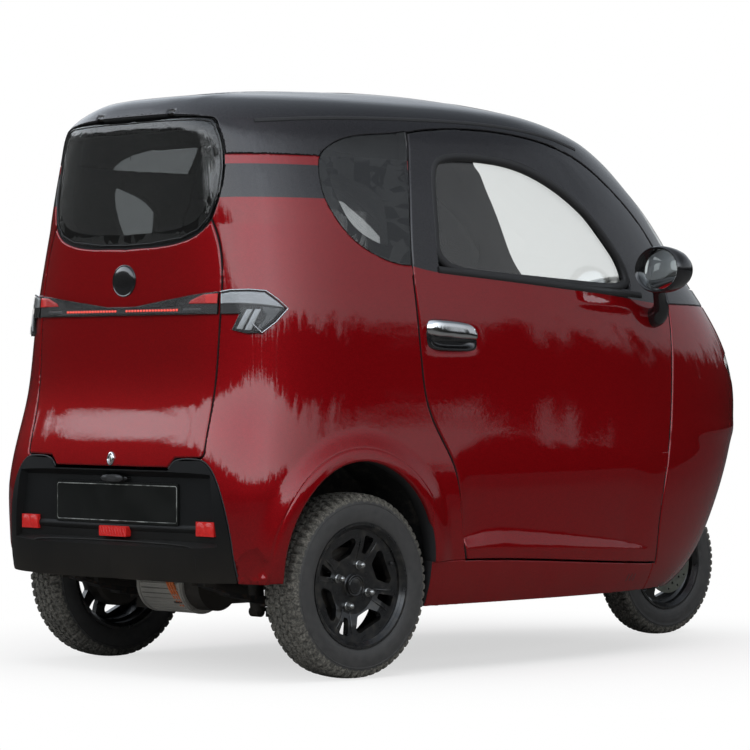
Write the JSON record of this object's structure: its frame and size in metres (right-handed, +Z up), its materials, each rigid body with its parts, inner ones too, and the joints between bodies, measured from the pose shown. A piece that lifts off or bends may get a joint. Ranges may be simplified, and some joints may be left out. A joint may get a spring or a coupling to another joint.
{
  "type": "three-wheeled cabin microcar",
  "caption": "Enclosed three-wheeled electric microcar with two side doors, a rising tailgate, a steered front wheel and a driven rear axle.",
  "frame": {"origin": "on the ground under the middle of the length and width", "axes": "+X towards the nose, +Y towards the left side, +Z up"},
  "size_m": [2.4004, 1.36, 1.598],
  "materials": {
    "red_paint": "gloss metallic",
    "dark_paint": "gloss metallic",
    "black_plastic": "grained",
    "tinted_glass": "tinted",
    "clear_glass": "clear",
    "lamp_lens": "moulded",
    "red_lens": "ribbed",
    "chrome": "polished",
    "black_metal": "satin black",
    "tyre": "matt",
    "alloy_black": "satin black",
    "steel": "machined",
    "cast_aluminium": "as cast",
    "spring_steel": "painted black",
    "seat_cover": "grained",
    "plate_black": "satin"
  },
  "bodies": {
    "body": {"roof": "dark_paint", "front_body": "red_paint", "quarter_left": "red_paint", "quarter_right": "red_paint", "sills": "red_paint", "rear_bumper": "black_plastic", "quarter_glasses": "tinted_glass", "windscreen": "clear_glass", "headlamps": "clear_glass", "tail_lamps": "lamp_lens", "number_plate": "plate_black", "rear_reflectors": "red_lens", "rear_fog_lamp": "red_lens", "floor_pan": "black_metal", "front_bulkhead": "black_metal", "arch_liners": "black_plastic", "rear_frame": "black_metal", "leaf_springs": "spring_steel", "rear_axle": "black_metal", "motor": "cast_aluminium", "dampers": "black_metal", "seat_base": "black_metal", "driver_seat": "seat_cover", "rear_bench": "seat_cover", "dashboard": "black_plastic", "steering_column": "black_metal"},
    "left_door": {"door_left": "red_paint", "door_glass_left": "clear_glass", "door_handle_left": "chrome", "mirror_left": "black_plastic"},
    "right_door": {"door_right": "red_paint", "door_glass_right": "clear_glass", "door_handle_right": "chrome", "mirror_right": "black_plastic"},
    "rear_gate": {"tailgate": "red_paint", "rear_glass": "tinted_glass", "tailgate_lamp_bar": "lamp_lens"},
    "steered_fork": {"fork": "black_metal", "brake_caliper": "cast_aluminium"},
    "front_wheel": {"front_rim": "alloy_black", "front_tyre": "tyre", "brake_disc": "steel"},
    "left_wheel": {"rear_rim_left": "alloy_black", "rear_tyre_left": "tyre"},
    "right_wheel": {"rear_rim_right": "alloy_black", "rear_tyre_right": "tyre"},
    "hand_wheel": {"steering_wheel": "black_plastic"}
  },
  "joints": [
    {"name": "left_door_hinge", "type": "hinge", "parent": "body", "child": "left_door", "pos_m": [0.4055, 0.505, 0.45], "axis": [-0.2028, 0, -0.9792], "range_deg": [0, 65]},
    {"name": "right_door_hinge", "type": "hinge", "parent": "body", "child": "right_door", "pos_m": [0.4055, -0.505, 0.45], "axis": [0.2028, 0, 0.9792], "range_deg": [0, 65]},
    {"name": "tailgate_hinge", "type": "hinge", "parent": "body", "child": "rear_gate", "pos_m": [-1.102, 0, 1.504], "axis": [0, 1, 0], "range_deg": [0, 72]},
    {"name": "fork_steering", "type": "hinge", "parent": "body", "child": "steered_fork", "pos_m": [0.977, 0, 0.224], "axis": [-0.342, 0, 0.9397], "range_deg": [-35, 35]},
    {"name": "hand_wheel_turn", "type": "hinge", "parent": "body", "child": "hand_wheel", "pos_m": [0.656, 0, 1.02], "axis": [-0.454, 0, 0.891], "range_deg": [-90, 90]},
    {"name": "front_wheel_spin", "type": "hinge", "parent": "steered_fork", "child": "front_wheel", "pos_m": [0.977, 0, 0.224], "axis": [0, 1, 0], "continuous": true},
    {"name": "left_wheel_spin", "type": "hinge", "parent": "body", "child": "left_wheel", "pos_m": [-0.799, 0.5, 0.247], "axis": [0, 1, 0], "continuous": true},
    {"name": "right_wheel_spin", "type": "hinge", "parent": "body", "child": "right_wheel", "pos_m": [-0.799, -0.5, 0.247], "axis": [0, 1, 0], "continuous": true}
  ],
  "couplings": [
    {"joint": "hand_wheel_turn", "follows": "fork_steering", "ratio": 2.5}
  ]
}
